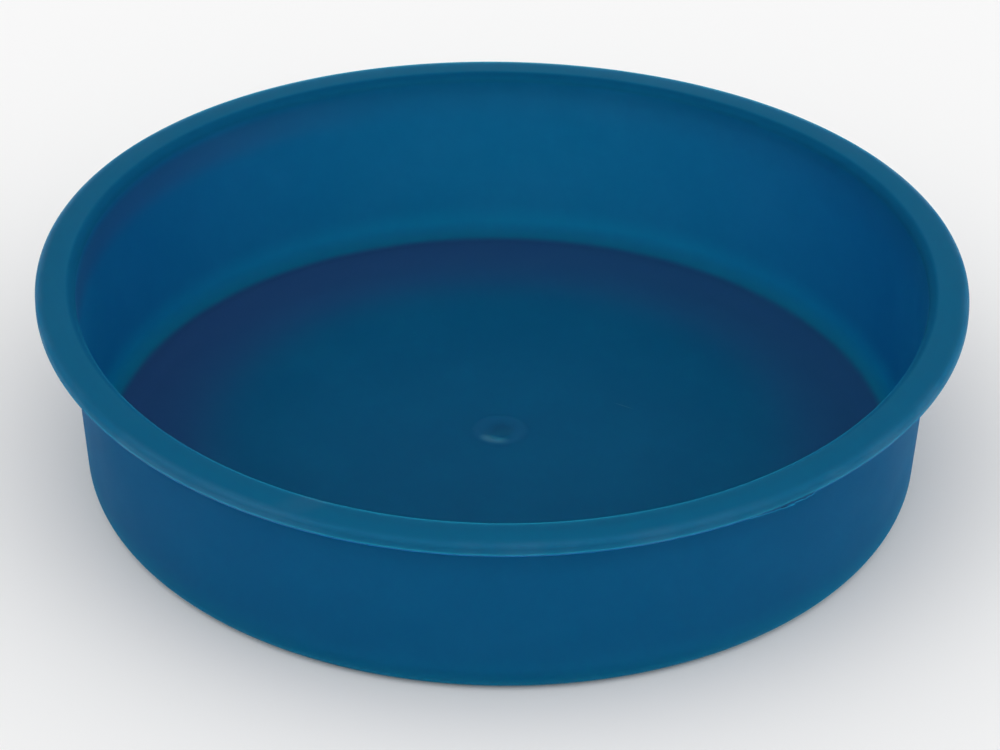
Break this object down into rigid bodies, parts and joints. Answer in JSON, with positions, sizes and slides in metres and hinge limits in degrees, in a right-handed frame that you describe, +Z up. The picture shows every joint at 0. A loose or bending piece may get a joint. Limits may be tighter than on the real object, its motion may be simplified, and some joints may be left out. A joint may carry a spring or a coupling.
{
  "type": "round dish",
  "caption": "Shallow round dish with a flat base, a steep drafted wall and a turned-down rim, moulded in one piece, for instruments, dressings or lotions on a hospital ward.",
  "frame": {"origin": "centre of the base, at the height of the surface that the dish stands on", "axes": "+Z up out of the dish's mouth, along the axis that the whole shape is turned about; X and Y lie in the base and are alike"},
  "size_m": [0.2, 0.2, 0.0445],
  "materials": {
    "blue_polypropylene": "satin, slightly translucent injection-moulded polypropylene"
  },
  "bodies": {
    "root": {"dish": "blue_polypropylene"}
  },
  "joints": []
}
